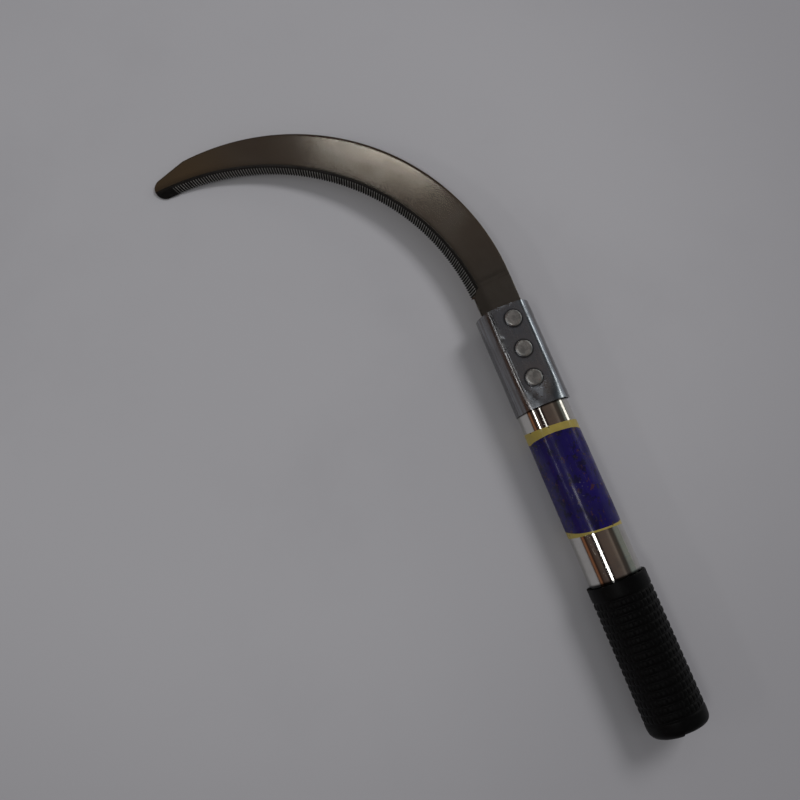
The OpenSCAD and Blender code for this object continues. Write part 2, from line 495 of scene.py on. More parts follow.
blade_steel, shader = new_material("Browned blade steel", {"Metallic": 0.9})
spot = object_place(blade_steel)
curve = polar_place(blade_steel, edge_centre)
cloud = effect(blade_steel, smudges, spot, Size=0.03, Cover=0.35)
fine = effect(blade_steel, smudges, spot, Size=0.0025, Cover=0.25)
stains_and_shade = tint(blade_steel, cloud, (0.250, 0.216, 0.176), (0.275, 0.246, 0.206))
stains_and_shade = tint(blade_steel, fine, stains_and_shade, (0.150, 0.124, 0.100), 0.3)
lengthwise = effect(blade_steel, scratches, curve, Length=0.02, Width=0.00012, Amount=0.13)
crosswise = effect(
    blade_steel,
    scratches,
    add(blade_steel, "Mapping", {"Vector": curve, "Rotation": (0.0, 0.0, 1.25)}).outputs[0],
    Length=0.005,
    Width=0.00014,
    Amount=0.10,
)
marks = calc(blade_steel, "MAXIMUM", lengthwise, crosswise)
stains_and_shade = tint(blade_steel, marks, stains_and_shade, (0.48, 0.46, 0.42), 0.5)
reddish = effect(blade_steel, smudges, spot, Size=0.011, Cover=0.22)
stains_and_shade = tint(blade_steel, reddish, stains_and_shade, (0.232, 0.178, 0.148), 0.55)
nose_spot = laid([(*nose_centre, 0.0)])[0] * MM
nose_away = apart(blade_steel, spot, nose_spot)
golden = between(blade_steel, nose_away, 0.05, 0.008)
stains_and_shade = tint(blade_steel, golden, stains_and_shade, (0.36, 0.285, 0.185))
# Painted shade: the face is darkened towards the shoulder line, which dims the inner half of
# the sheen.
from_shoulder = across_curve(blade_steel, shoulder_centre)
painted_shoulder_shade = between(blade_steel, from_shoulder, 0.1172, 0.1139, 0.0, 0.45)
stains_and_shade = tint(blade_steel, painted_shoulder_shade, stains_and_shade, (0.110, 0.092, 0.075))
# Painted shade: the blade's convex edges, its rounded back edge among them, are darkened to a
# dark outline.
edges = effect(blade_steel, edge_wear_and_light, spot, Sharpness=0.05, Grain=0.003)
stains_and_shade = tint(blade_steel, edges, stains_and_shade, (0.030, 0.026, 0.022))
join(blade_steel, stains_and_shade, shader, "Base Color")
rough = between(blade_steel, cloud, 0.0, 1.0, 0.145, 0.175)
join(blade_steel, rough, shader, "Roughness")
waves = texture(blade_steel, spot, Scale=55.0, Detail=1.0)
normal = bump(blade_steel, waves, 0.00005, 1.0)
normal = bump(blade_steel, marks, -0.00001, 0.04, normal)
join(blade_steel, normal, shader, "Normal")

ground_steel, shader = new_material(
    "Oiled ground steel", {"Metallic": 0.4, "Specular IOR Level": 0.35}
)
spot = object_place(ground_steel)
curve = polar_place(ground_steel, edge_centre)
greasy = effect(ground_steel, smudges, spot, Size=0.004, Cover=0.3)
parts = add(ground_steel, "SeparateXYZ", {0: curve})
turned = calc(ground_steel, "DIVIDE", parts.outputs[0], curve_scale)
inward = calc(ground_steel, "SUBTRACT", parts.outputs[1], edge_radius * MM)
inward = calc(ground_steel, "DIVIDE", inward, parts.outputs[1])
inward = calc(ground_steel, "MULTIPLY", inward, math.tan(math.radians(groove_slant)))
turned = calc(ground_steel, "SUBTRACT", turned, inward)
turned = calc(ground_steel, "SUBTRACT", turned, math.radians(teeth_from))
turned = calc(ground_steel, "DIVIDE", turned, math.radians(tooth_step))
from_crest = calc(ground_steel, "PINGPONG", turned, 0.5)
crests = between(ground_steel, from_crest, 0.20, 0.03)
toothed = between(ground_steel, turned, tooth_count + 0.5, tooth_count - 0.5)
crests = calc(ground_steel, "MULTIPLY", crests, toothed)
dusty = between(ground_steel, greasy, 0.0, 1.0, 1.0, 0.45)
crests = calc(ground_steel, "MULTIPLY", crests, dusty)
shade = tint(ground_steel, crests, (0.004, 0.004, 0.004), (0.33, 0.32, 0.305))
grind = effect(ground_steel, scratches, curve, Length=0.004, Width=0.0001, Amount=0.15)
shade = tint(ground_steel, grind, shade, (0.10, 0.095, 0.09), 0.25)
from_shoulder = across_curve(ground_steel, shoulder_centre)
hollow = between(ground_steel, from_shoulder, 0.1123, 0.1128)
shade = tint(ground_steel, hollow, shade, (0.009, 0.007, 0.006))
join(ground_steel, shade, shader, "Base Color")
join(ground_steel, between(ground_steel, greasy, 0.0, 1.0, 0.34, 0.5), shader, "Roughness")
join(ground_steel, bump(ground_steel, grind, -0.00003, 0.5), shader, "Normal")

blade = make_piece(
    "toothed_blade",
    laid(blade_points),
    blade_faces,
    [blade_steel, ground_steel],
    ["blade"],
    crease=40.0,
)
ground_rows = len(land_steps) + len(hollow_steps)
kinds = np.zeros(len(blade.data.polygons), int)
for row in range(ground_from, len(columns) - 1):
    kinds[row * ring_size : row * ring_size + ground_rows] = ground_slot
    kinds[(row + 1) * ring_size - 1] = ground_slot
blade.data.polygons.foreach_set("material_index", kinds)


# ----------------------------------------
# Tube: plated steel tube that is the core of the handle. Its front end is pressed
# to two flats together with the ferrule, and its rear end is closed by the grip.
tube_radius = 12.5
tube_wall = 1.0
tube_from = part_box("tube")[0].x / MM
tube_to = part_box("tube")[1].x / MM
ferrule_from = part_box("ferrule")[0].x / MM
pressed_from = ferrule_from + 4.0
pressed_side = -0.65
tube_flat = 10.1
arc_radius = 0.0126


def pressed_radius(radius, half_height, around, power=44.0):
    """Radius of a round section with two flats and slightly rounded creases."""
    flat = half_height / max(abs(math.cos(around)), 1e-6)
    return (radius**-power + flat**-power) ** (-1.0 / power)


def sleeve(stations, steps, outer, inner, side, rear=None, front=None):
    """Closed sleeve: each station has an outer and an inner radius round the axis."""
    angles = np.linspace(0.0, 2.0 * math.pi, steps, endpoint=False)
    rows = []
    last_station = len(stations) - 1
    for shell, radius_at in ((0, outer), (1, inner)):
        order = range(len(stations)) if shell == 0 else range(len(stations) - 1, -1, -1)
        for k in order:
            row = []
            for a in angles:
                x = stations[k]
                if rear and k == 0:
                    x += rear(a)
                if front and k == last_station:
                    x += front(a)
                r = radius_at(x, a)
                row.append((x, side(x) + r * math.sin(a), r * math.cos(a)))
            rows.append(row)
    faces = grid(len(rows), steps)
    for c in range(steps):
        d = (c + 1) % steps
        a = (len(rows) - 1) * steps
        faces.append((a + c, a + d, d, c))
    return [p for row in rows for p in row], faces


def tube_side(x):
    return pressed_side * smooth(pressed_from - 3.0, pressed_from + 2.0, x)


def tube_half(x):
    """Half the tube's height, which falls to the flats over the pressed length."""
    return tube_flat + 2.6 * (1.0 - smooth(pressed_from, pressed_from + 10.0, x))


def tube_outer(x, a):
    soften = 0.25 * smooth(tube_to - 0.5, tube_to, x)
    radius = pressed_radius(tube_radius, tube_half(x), a)
    return radius - soften + 0.012 * bumps(x, a * 6, 0, 9.0)


def tube_inner(x, a):
    return pressed_radius(tube_radius - tube_wall, tube_half(x) - tube_wall, a)


def round_place(material):
    """Coordinates on the handle: along it, round it and outwards."""
    parts = add(material, "SeparateXYZ", {0: object_place(material)})
    around = calc(material, "ARCTAN2", parts.outputs[1], parts.outputs[2])
    arc = calc(material, "MULTIPLY", around, arc_radius)
    return parts.outputs[0], arc, add(
        material, "CombineXYZ", {0: parts.outputs[0], 1: arc}
    ).outputs[0]


plated_steel, shader = new_material("Plated tube", {"Metallic": 1.0})
spot = object_place(plated_steel)
along_tube, arc, unrolled = round_place(plated_steel)
turned = add(plated_steel, "CombineXYZ", {0: arc, 1: along_tube}).outputs[0]
rings = effect(plated_steel, scratches, turned, Length=0.012, Width=0.00008, Amount=0.14)
draws = effect(plated_steel, scratches, unrolled, Length=0.015, Width=0.00014, Amount=0.1)
film = effect(plated_steel, smudges, spot, Size=0.009, Cover=0.3)
bright = tint(plated_steel, film, (0.66, 0.645, 0.61), (0.57, 0.545, 0.51))
marks = calc(plated_steel, "MAXIMUM", rings, draws)
bright = tint(plated_steel, marks, bright, (0.55, 0.54, 0.52), 0.3)
# Painted shadow: a narrow dark band on the tube just outside the ferrule's rear edge.
ferrule_shadow_span = ((ferrule_from - 0.8) * MM, (ferrule_from + 0.1) * MM)
ferrule_contact_shadow = between(plated_steel, along_tube, *ferrule_shadow_span)
bright = tint(plated_steel, ferrule_contact_shadow, bright, (0.04, 0.036, 0.032))
# Painted shadow: a narrow dark band on the tube just outside the grip's mouth.
grip_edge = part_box("grip")[1].x
grip_contact_shadow = between(plated_steel, along_tube, grip_edge + 0.0009, grip_edge - 0.0003)
bright = tint(plated_steel, grip_contact_shadow, bright, (0.03, 0.03, 0.03))
join(plated_steel, bright, shader, "Base Color")
join(plated_steel, between(plated_steel, film, 0.0, 1.0, 0.07, 0.16), shader, "Roughness")
ripple = texture(plated_steel, spot, Scale=70.0)
normal = bump(plated_steel, ripple, 0.00003, 0.25)
normal = bump(plated_steel, rings, -0.00001, 0.3, normal)
join(plated_steel, normal, shader, "Normal")

stations = np.concatenate(
    [
        [tube_from, tube_from + 0.4],
        np.linspace(tube_from + 6, ferrule_from, 60),
        np.linspace(ferrule_from + 2, tube_to - 1, 24),
        [tube_to - 0.5, tube_to - 0.2, tube_to],
    ]
)
points, faces = sleeve(stations, 144, tube_outer, tube_inner, tube_side)
make_piece("handle_tube", laid(points), faces, [plated_steel], ["tube"])


# ----------------------------------------
# Packing: two split pieces of hardwood that fill the pressed end of the tube above
# and below the tang, so that the rivets can be closed hard without crushing it.
packing_wood, shader = new_material("Packing hardwood", {"Specular IOR Level": 0.35})
spot = object_place(packing_wood)
stretched = add(
    packing_wood, "Mapping", {"Vector": spot, "Scale": (1.0, 14.0, 14.0)}
).outputs[0]
grain = texture(packing_wood, stretched, Scale=60.0, Detail=6.0)
dirt = effect(packing_wood, smudges, spot, Size=0.004, Cover=0.35)
pale = between(packing_wood, grain, 0.35, 0.65)
wood = tint(packing_wood, pale, (0.20, 0.12, 0.06), (0.33, 0.22, 0.12))
join(packing_wood, tint(packing_wood, dirt, wood, (0.03, 0.024, 0.02)), shader, "Base Color")
join(packing_wood, between(packing_wood, grain, 0.3, 0.7, 0.6, 0.85), shader, "Roughness")
join(packing_wood, bump(packing_wood, grain, 0.0002, 0.5), shader, "Normal")
for half in ("core_upper", "core_lower"):
    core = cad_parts[half]
    core.data.materials.clear()
    core.data.materials.append(packing_wood)


# ----------------------------------------
# Ferrule: short length of slightly larger steel tube slid over the handle and
# pressed with it to two flats, which bow up towards its rear end. It is dented and
# scratched from the press, with sawn ends that are left a little ragged.
ferrule_radius = 13.5
ferrule_flat = 11.1
ferrule_wall = 0.93
ferrule_power = 30.0
rivet_back = (7.6, 22.8, 37.2)
rivet_side = (-2.0, -0.9, 0.2)


def ferrule_pressed(x, a):
    """Radius of the pressed ferrule before its dents, swelling towards its rear end."""
    radius = pressed_radius(ferrule_radius, ferrule_flat, a, ferrule_power)
    swell = 0.85 * (1.0 - smooth(ferrule_from, ferrule_from + 15.0, x))
    return radius + swell * (ferrule_radius - radius)


def ferrule_outer(x, a):
    radius = ferrule_pressed(x, a)
    y = radius * math.sin(a) + pressed_side
    if abs(math.cos(a)) > 0.3:
        for back, side in zip(rivet_back, rivet_side):
            away = math.hypot(x - (MOUTH - back), y - side)
            radius -= 0.05 * math.exp(-((away - 4.0) ** 2) / 4.0)
        radius -= 0.10 * smooth(MOUTH - 7, MOUTH, x) * math.exp(-((y + 0.6) ** 2) / 24.0)
    creasing = math.exp(-((abs(abs(math.degrees(a) - 180.0) - 145.0)) ** 2) / 60.0)
    radius -= 0.05 * creasing * bumps(x, a * 3, 4.0, 4.0)
    nick = math.exp(-((x - 190.0) ** 2) / 0.8 - ((math.degrees(a) - 33.0) ** 2) / 16.0)
    radius -= 0.25 * nick
    dented = 0.035 * bumps(x, a * 8.0, 0.0, 9.0) + 0.010 * bumps(x, a * 12.0, 5.0, 3.0)
    return radius - 0.045 + dented - 0.2 * smooth(MOUTH - 0.35, MOUTH, x)


def ferrule_inner(x, a):
    return ferrule_pressed(x, a) - ferrule_wall


def ferrule_rear(a):
    return 0.25 + 0.25 * bumps(math.sin(a) * 6, math.cos(a) * 6, 2.0, 4.0)


def ferrule_front(a):
    arch = 0.9 * (math.sin(a) ** 2) * 0.8
    return -0.12 - arch - 0.2 * max(bumps(math.sin(a) * 9, math.cos(a) * 9, 7.0, 3.0), 0.0)


ferrule_steel, shader = new_material("Pressed ferrule steel", {"Metallic": 1.0})
spot = object_place(ferrule_steel)
along_tube, arc, unrolled = round_place(ferrule_steel)
film = effect(ferrule_steel, smudges, spot, Size=0.008, Cover=0.38)
marks = effect(ferrule_steel, scratches, unrolled, Length=0.012, Width=0.00018, Amount=0.17)
slant = add(
    ferrule_steel, "Mapping", {"Vector": unrolled, "Rotation": (0.0, 0.0, 0.5)}
).outputs[0]
slant_marks = effect(ferrule_steel, scratches, slant, Length=0.006, Width=0.0002, Amount=0.1)
marks = calc(ferrule_steel, "MAXIMUM", marks, slant_marks)
grey = tint(ferrule_steel, film, (0.52, 0.565, 0.625), (0.36, 0.39, 0.435))
grey = tint(ferrule_steel, marks, grey, (0.66, 0.67, 0.69), 0.4)
# Painted shade: both side walls beyond the flats are darkened, in uneven reddish-grey streaks.
around = calc(ferrule_steel, "ABSOLUTE", calc(ferrule_steel, "ADD", arc, 0.0008))
wall = between(ferrule_steel, around, 0.0080, 0.0098)
streaks = add(
    ferrule_steel, "Mapping", {"Vector": unrolled, "Scale": (1.0, 16.0, 1.0)}
).outputs[0]
streaks = texture(ferrule_steel, streaks, Scale=45.0, Detail=4.0)
heavy = between(ferrule_steel, streaks, 0.34, 0.66, 0.74, 0.92)
painted_wall_shade = between(ferrule_steel, streaks, 0.36, 0.64)
painted_wall_shade = tint(ferrule_steel, painted_wall_shade, (0.200, 0.196, 0.194), (0.165, 0.150, 0.143))
wall = calc(ferrule_steel, "MULTIPLY", wall, heavy)
grey = tint(ferrule_steel, wall, grey, painted_wall_shade)
# Painted shade: a dark ring on the ferrule round each rivet head.
for back, side in zip(rivet_back, rivet_side):
    seat = laid([(MOUTH - back, side, ferrule_flat)])[0] * MM
    away = apart(ferrule_steel, spot, seat)
    ring = between(ferrule_steel, away, 0.0052, 0.0041)
    grey = tint(ferrule_steel, ring, grey, (0.05, 0.05, 0.055), 0.85)
edges = effect(ferrule_steel, edge_wear_and_light, spot, Sharpness=0.06, Grain=0.001)
grey = tint(ferrule_steel, edges, grey, (0.80, 0.80, 0.80))
join(ferrule_steel, grey, shader, "Base Color")
join(ferrule_steel, between(ferrule_steel, film, 0.0, 1.0, 0.20, 0.32), shader, "Roughness")
waves = texture(ferrule_steel, spot, Scale=160.0, Detail=3.0)
normal = bump(ferrule_steel, waves, 0.00003, 0.4)
normal = bump(ferrule_steel, marks, -0.00001, 0.35, normal)
join(ferrule_steel, normal, shader, "Normal")

stations = np.concatenate(
    [
        [ferrule_from, ferrule_from + 0.6, ferrule_from + 1.0],
        np.linspace(ferrule_from + 1.7, MOUTH - 2.2, 84),
        [MOUTH - 1.6, MOUTH - 1.2, MOUTH],
    ]
)
points, faces = sleeve(
    stations,
    216,
    ferrule_outer,
    ferrule_inner,
    lambda x: pressed_side,
    ferrule_rear,
    ferrule_front,
)
make_piece(
    "pressed_ferrule",
    laid(points),
    faces,
    [ferrule_steel],
    ["ferrule"],
    crease=50.0,
)


# ----------------------------------------
# Rivets: three soft rivets with low round heads, driven through ferrule, tube,
# packing and tang. Hammering has left their tops rough and their rims worn bright;
# the rims' colour is lifted further still as a painted highlight.
head_radius = 4.0
head_top = 12.5
head_base = 10.7
shank_radius = 2.4

rivet_metal, shader = new_material("Hammered rivet", {"Metallic": 1.0})
spot = object_place(rivet_metal)
hammered = texture(rivet_metal, spot, Scale=700.0, Detail=5.0)
grime = effect(rivet_metal, smudges, spot, Size=0.003, Cover=0.4)
grey = tint(rivet_metal, grime, (0.84, 0.85, 0.84), (0.46, 0.47, 0.47))
edges = effect(rivet_metal, edge_wear_and_light, spot, Sharpness=0.05, Grain=0.002)
# Painted highlight: the rims' colour is lifted to near white, beyond their wear.
join(rivet_metal, tint(rivet_metal, edges, grey, (0.95, 0.95, 0.94)), shader, "Base Color")
dull = between(rivet_metal, grime, 0.0, 1.0, 0.40, 0.50)
dull = calc(rivet_metal, "SUBTRACT", dull, calc(rivet_metal, "MULTIPLY", edges, 0.3))
join(rivet_metal, dull, shader, "Roughness")
join(rivet_metal, bump(rivet_metal, hammered, 0.00010, 0.6), shader, "Normal")

rim_profile = (
    (3.05, head_top - 0.03),
    (3.35, head_top - 0.10),
    (3.62, head_top - 0.24),
    (3.83, head_top - 0.46),
    (3.95, head_top - 0.75),
    (head_radius, head_top - 1.05),
    (head_radius - 0.05, head_base),
    (shank_radius, head_base),
)
for order, which in enumerate(("front", "middle", "rear")):
    middle = np.array([MOUTH - rivet_back[order], rivet_side[order]])
    profile = [(r, head_top) for r in (0.35, 0.9, 1.5, 2.1, 2.6)] + list(rim_profile)
    profile += [(r, -z) for r, z in profile[::-1]]
    steps = 64
    points = []
    for r, z in profile:
        for a in np.linspace(0.0, 2.0 * math.pi, steps, endpoint=False):
            out = 1.0 + 0.012 * bumps(math.cos(a), math.sin(a), order * 9.0, 1.2)
            x, y = r * out * math.cos(a), r * out * math.sin(a)
            if abs(z) > head_top - 0.2:
                z_here = z - math.copysign(
                    0.03 + 0.04 * bumps(x, y, order * 5.0, 1.6) + 0.003 * r * r, z
                )
            else:
                z_here = z
            points.append((middle[0] + x, middle[1] + y, z_here))
    faces = capped(grid(len(profile), steps), steps, len(points))
    make_piece(
        "rivet_" + which + "_hammered",
        laid(points),
        faces,
        [rivet_metal],
        ["rivet_" + which],
        crease=60.0,
    )


# ----------------------------------------
# Label: film wrapped once round the tube, so much askew that its lapped ends lie
# nearly 5 mm apart along the handle. It is printed with a plain blue-violet field
# between yellow borders, which is scuffed and partly rubbed away.
label_inner = 12.53
label_outer = 12.62
label_low = 92.6
label_high = 144.1
label_skew = 0.064

label_film, shader = new_material(
    "Printed label film",
    {"Specular IOR Level": 0.18, "Coat Roughness": 0.13},
)
spot = object_place(label_film)
along_tube, arc, unrolled = round_place(label_film)
climb = calc(label_film, "MULTIPLY", arc, label_skew)
level = calc(label_film, "SUBTRACT", along_tube, climb)
wobble = texture(label_film, unrolled, Scale=300.0)
wobble = calc(label_film, "MULTIPLY", calc(label_film, "SUBTRACT", wobble, 0.5), 0.0004)
level = calc(label_film, "ADD", level, wobble)
bow = calc(label_film, "MULTIPLY", calc(label_film, "MULTIPLY", arc, arc), 6.3)
bow = calc(label_film, "MINIMUM", bow, 0.0022)
field_low = calc(label_film, "ADD", bow, 0.0934)
field_high = calc(label_film, "SUBTRACT", 0.1407, bow)
over = calc(label_film, "GREATER_THAN", level, field_low)
under = calc(label_film, "LESS_THAN", level, field_high)
field = calc(label_film, "MULTIPLY", over, under)
cloud = effect(label_film, smudges, spot, Size=0.012, Cover=0.4)
violet = tint(label_film, cloud, (0.0155, 0.0092, 0.114), (0.0115, 0.0070, 0.086))
yellow = tint(label_film, cloud, (0.47, 0.365, 0.082), (0.39, 0.305, 0.075))
print_colour = tint(label_film, field, yellow, violet)
# Wear over the whole field: spots rubbed dark, brownish or grimy, then pale flecks
# where the film shows through
for shift, scale, least, colour in (
    (0.31, 190.0, 0.545, (0.011, 0.008, 0.046)),
    (0.77, 260.0, 0.590, (0.060, 0.026, 0.044)),
    (1.39, 330.0, 0.600, (0.024, 0.019, 0.026)),
):
    place_on_film = add(
        label_film, "VectorMath", {0: unrolled, 1: (shift, shift, 0.0)}, operation="ADD"
    ).outputs[0]
    rub = texture(label_film, place_on_film, Scale=scale, Detail=6.0, Roughness=0.68)
    rub = between(label_film, rub, least, least + 0.03)
    rub = calc(label_film, "MULTIPLY", rub, field)
    print_colour = tint(label_film, rub, print_colour, colour)
flecks = texture(label_film, unrolled, Scale=900.0, Detail=3.0)
flecks = between(label_film, flecks, 0.63, 0.66)
patches = texture(label_film, unrolled, Scale=75.0, Detail=2.0)
patches = between(label_film, patches, 0.56, 0.64, 0.0, 0.7)
flecks = calc(label_film, "MULTIPLY", flecks, patches)
print_colour = tint(label_film, flecks, print_colour, (0.20, 0.185, 0.20))
nicks = texture(label_film, unrolled, Scale=520.0, Detail=5.0)
nicks = between(label_film, nicks, 0.665, 0.70)
print_colour = tint(label_film, nicks, print_colour, (0.010, 0.007, 0.028))
scuffs = effect(label_film, scratches, unrolled, Length=0.006, Width=0.0002, Amount=0.1)
print_colour = tint(label_film, scuffs, print_colour, (0.20, 0.18, 0.28), 0.22)
join(label_film, print_colour, shader, "Base Color")
join(label_film, between(label_film, cloud, 0.0, 1.0, 0.28, 0.42), shader, "Roughness")
creases = texture(label_film, spot, Scale=220.0, Detail=3.0)
rubbed = texture(label_film, unrolled, Scale=110.0, Detail=4.0)
gloss = between(label_film, rubbed, 0.40, 0.62, 0.06, 0.40)
join(label_film, gloss, shader, "Coat Weight")
normal = bump(label_film, creases, 0.00009, 0.55)
normal = bump(label_film, nicks, -0.00003, 0.6, normal)
join(label_film, normal, shader, "Normal")

# One turn of film with its end lapped over its start on the underside
points = []
turns = np.linspace(-math.pi - 0.06, math.pi + 0.06, 230)
across = np.linspace(0.0, 1.0, 40)
for layer in (label_outer, label_inner):
    order = across if layer == label_outer else across[::-1]
    for s in order:
        for a in turns:
            lap = 0.05 * smooth(2.9, 3.1, a)
            drift = label_skew * 12.6 * max(min(a, 3.0), -3.0)
            x = label_low + drift + s * (label_high - label_low)
            x += 0.05 * bumps(a * 5, s * 3, layer, 1.0) if s in (0.0, 1.0) else 0.0
            curl = 0.015 * (1.0 if s in (0.0, 1.0) else 0.0)
            r = layer + lap - (curl if layer == label_outer else 0.0)
            points.append((x, r * math.sin(a), r * math.cos(a)))
rows = 2 * len(across)
faces = grid(rows, len(turns), closed=False)
for c in range(len(turns) - 1):
    a = (rows - 1) * len(turns)
    faces.append((a + c, a + c + 1, c + 1, c))
for c in (0, len(turns) - 1):
    ring = [r * len(turns) + c for r in range(rows)]
    faces.append(tuple(ring if c else ring[::-1]))
make_piece("wrapped_label", points, faces, [label_film], ["label"], crease=50.0)


# ----------------------------------------
# Grip: moulded black rubber sleeve pushed over the rear of the tube. It has a
# smooth collar, a ribbed part cut into small pads, and a closed butt end. Its mouth
# is a little scalloped where the rubber was trimmed.
grip_radius = 14.05
grip_bore = 12.53
grip_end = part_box("grip")[1].x / MM
collar_length = 8.2
band_length = 8.4
rib_count = 17
rib_pitch = (grip_end - collar_length - band_length) / (rib_count - 1)
rib_depth = 0.55
pad_count = 34
pad_depth = 0.32
butt_round = 4.5


def grip_surface(x, a):
    """Outside radius of the grip at a station and an angle."""
    radius = grip_radius
    if x > band_length - 2.0 and x < grip_end - collar_length + 2.0:
        rib = (x - band_length) / rib_pitch
        ring = round(rib)
        away = abs(rib - ring) * rib_pitch
        if 0 <= ring < rib_count:
            radius -= rib_depth * math.exp(-((away / 0.55) ** 2))
        row = math.floor(rib)
        if 0 <= row < rib_count - 1:
            turn = a * pad_count / (2.0 * math.pi) + 0.5 * (row % 2)
            turn += 0.12 * bumps(a * 2, row * 3.0, 1.0, 1.0)
            off = abs(turn - round(turn)) * 2.0 * math.pi * grip_radius / pad_count
            crown = smooth(0.0, 0.9, away)
            radius -= pad_depth * crown * math.exp(-((off / 0.34) ** 2))
    radius -= 0.5 * smooth(grip_end - 1.2, grip_end, x) * (0.4 + 0.3 * math.sin(9 * a))
    radius -= 0.35 * (1.0 - smooth(1.0, 7.0, x))
    radius += 0.035 * bumps(x, a * 7.0, 5.0, 3.5) - 0.035
    return radius


rubber, shader = new_material(
    "Black rubber", {"Specular IOR Level": 0.12, "Sheen Weight": 0.01}
)
spot = object_place(rubber)
dust = effect(rubber, smudges, spot, Size=0.006, Cover=0.3)
fine = effect(rubber, smudges, spot, Size=0.0012, Cover=0.25)
black = tint(rubber, dust, (0.0020, 0.0020, 0.0023), (0.0040, 0.0040, 0.0044))
black = tint(rubber, fine, black, (0.0060, 0.0058, 0.0058), 0.4)
worn_ribs = effect(rubber, edge_wear_and_light, spot, Sharpness=0.08, Grain=0.0015)
black = tint(rubber, worn_ribs, black, (0.0078, 0.0082, 0.0094), 0.5)
join(rubber, black, shader, "Base Color")
join(rubber, between(rubber, dust, 0.0, 1.0, 0.46, 0.62), shader, "Roughness")
skin = texture(rubber, spot, Scale=1500.0, Detail=4.0)
join(rubber, bump(rubber, skin, 0.00005, 0.5), shader, "Normal")

steps = 300
angles = np.linspace(0.0, 2.0 * math.pi, steps, endpoint=False)
ring_stations = np.concatenate(
    [
        np.linspace(butt_round, band_length - 1.5, 8),
        np.arange(band_length - 1.2, grip_end - collar_length + 1.3, 0.31),
        np.linspace(grip_end - collar_length + 1.8, grip_end - 1.5, 10),
        [grip_end - 1.0, grip_end - 0.6, grip_end - 0.3, grip_end],
    ]
)
rows = []
for share in (0.02, 0.25, 0.5, 0.7, 0.82, 0.9):
    row = []
    for a in angles:
        r = share * (grip_radius - 3.4)
        y = r * math.sin(a)
        dome = 0.15 + 0.75 * (r / grip_radius) ** 2 + 0.6 * (1.0 - smooth(3.0, 3.8, y))
        row.append((max(dome, 0.0), y, r * math.cos(a)))
    rows.append(row)
for turn in np.linspace(8.0, 82.0, 8):
    row = []
    for a in angles:
        corner = 2.9 + 0.9 * math.sin(a)
        outer = grip_surface(butt_round, a)
        r = outer - corner + corner * math.sin(math.radians(turn))
        base = 0.62 + 0.6 * (1.0 - smooth(3.0, 3.8, r * math.sin(a)))
        x = base + (butt_round - base) * (1.0 - math.cos(math.radians(turn)))
        row.append((x, r * math.sin(a), r * math.cos(a)))
    rows.append(row)
for x in ring_stations:
    row = []
    for a in angles:
        trim = 0.0
        if x > grip_end - 1.2:
            scallop = max(bumps(math.sin(a) * 14, math.cos(a) * 14, 3.0, 3.0), 0.0)
            trim = 0.9 * (1.0 - 1.5 * scallop) + 0.55 * max(math.sin(a), 0.0)
            trim *= (x - grip_end + 1.2) / 1.2
        r = grip_surface(x, a)
        row.append((x - max(trim, 0.0), r * math.sin(a), r * math.cos(a)))
    rows.append(row)
mouth_row = rows[-1]
mouth_steps = ((0.35, 0.05), (0.0, 0.5), (0.0, 30.0), (0.0, 66.0))
for flare, back in mouth_steps:
    inner = grip_bore + flare
    row = []
    for k, a in enumerate(angles):
        x = mouth_row[k][0] - back if back < 60 else 3.2
        row.append((x, inner * math.sin(a), inner * math.cos(a)))
    rows.append(row)
points = [p for row in rows for p in row]
faces = capped(grid(len(rows), steps), steps, len(points))
make_piece("rubber_grip", points, faces, [rubber], ["grip"], crease=55.0)


# ----------------------------------------
# Studio: pale matt table, a large softbox that throws the shadow, a low window by
# the handle, three narrow lamps that draw lines along the tube and one whose light
# lies as a sheen on the blade. Shiny surfaces mirror a room of soft bands.
scene = bpy.context.scene
scene.view_settings.view_transform = "Standard"
table_height = min(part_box("grip")[0].z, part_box("blade")[0].z)

table_top, shader = new_material("Pale table", {"Specular IOR Level": 0.08})
spot = object_place(table_top)
faint = effect(table_top, smudges, spot, Size=0.15, Cover=0.3)
paper = tint(table_top, faint, (0.590, 0.580, 0.600), (0.560, 0.550, 0.570))
# Painted light and shade on the table: the paper is lightest round a spot by the blade, darker
# from 0.15 m away, and much lighter again from 0.5 m away.
outside = apart(table_top, spot, (0.265, 0.095, table_height))
painted_table_shade = between(table_top, outside, 0.15, 0.36)
paper = tint(table_top, painted_table_shade, paper, (0.470, 0.460, 0.480))
far = between(table_top, outside, 0.5, 2.2)
join(table_top, tint(table_top, far, paper, (0.93, 0.93, 0.94)), shader, "Base Color")
join(table_top, between(table_top, faint, 0.0, 1.0, 0.75, 0.85), shader, "Roughness")
mesh = bpy.data.meshes.new("table")
reach = 15.0
corners = ((-1, -1), (1, -1), (1, 1), (-1, 1))
mesh.from_pydata(
    [(x * reach, y * reach, table_height) for x, y in corners],
    [],
    [(0, 1, 2, 3)],
)
mesh.materials.append(table_top)
table = bpy.data.objects.new("table", mesh)
scene.collection.objects.link(table)

world = bpy.data.worlds.new("Room")
scene.world = world
world.use_nodes = True
tree = world.node_tree
tree.nodes.clear()


def ramp(stops, value):
    """Colour ramp of the room; each stop is a position and a colour."""
    made = place(tree, "ValToRGB", {0: value})
    elements = made.color_ramp.elements
    while len(elements) < len(stops):
        elements.new(0.5)
    for element, (position, colour) in zip(elements, stops):
        element.position = position
        element.color = (*colour, 1.0)
    return made


